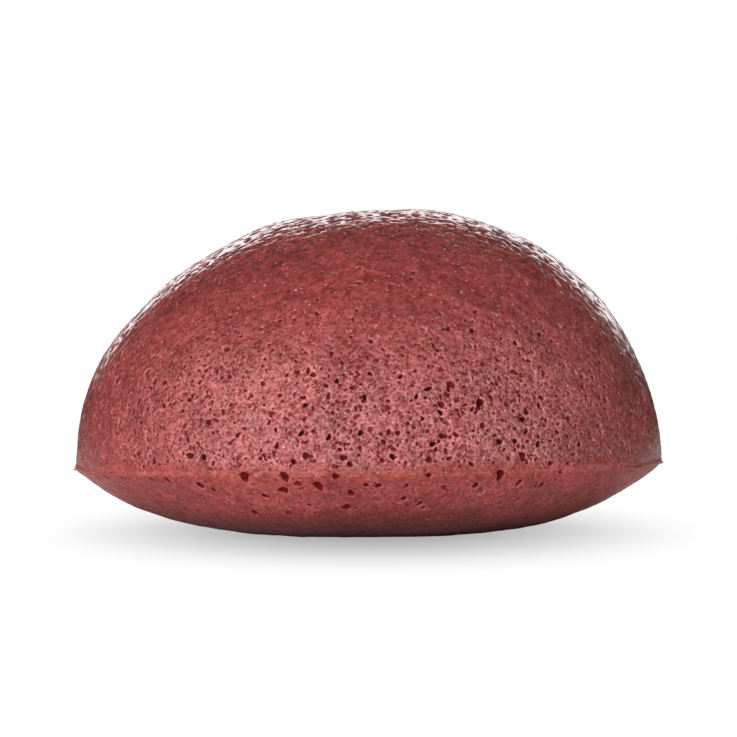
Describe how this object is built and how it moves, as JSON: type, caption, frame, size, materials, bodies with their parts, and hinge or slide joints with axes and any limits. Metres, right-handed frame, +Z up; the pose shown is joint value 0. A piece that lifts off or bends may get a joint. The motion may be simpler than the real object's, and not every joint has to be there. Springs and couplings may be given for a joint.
{
  "type": "konjac sponge",
  "caption": "Half-ball facial sponge of soft konjac foam, coloured with red clay, with a porous dome, a moulding line round its rim and a gently bulging underside.",
  "frame": {"origin": "centre of the flat patch that the sponge rests on", "axes": "+Z up along the dome's axis, from the resting face to the crown"},
  "size_m": [0.08, 0.08, 0.044],
  "materials": {
    "dome_skin": "damp konjac foam with a soft sheen, dark pink-red, with a granular open-pored band below a smoother crown",
    "base_skin": "damp konjac foam with a soft sheen, dark pink-red, smoother than the dome, with shallow round pits",
    "core_foam": "open-cell konjac foam, pink-red",
    "flash": "thin, slightly translucent lip of konjac foam, warmer red"
  },
  "bodies": {
    "root": {"dome_skin": "dome_skin", "dome_core": "core_foam", "base_skin": "base_skin", "base_core": "core_foam", "rim_flash": "flash"}
  },
  "joints": []
}
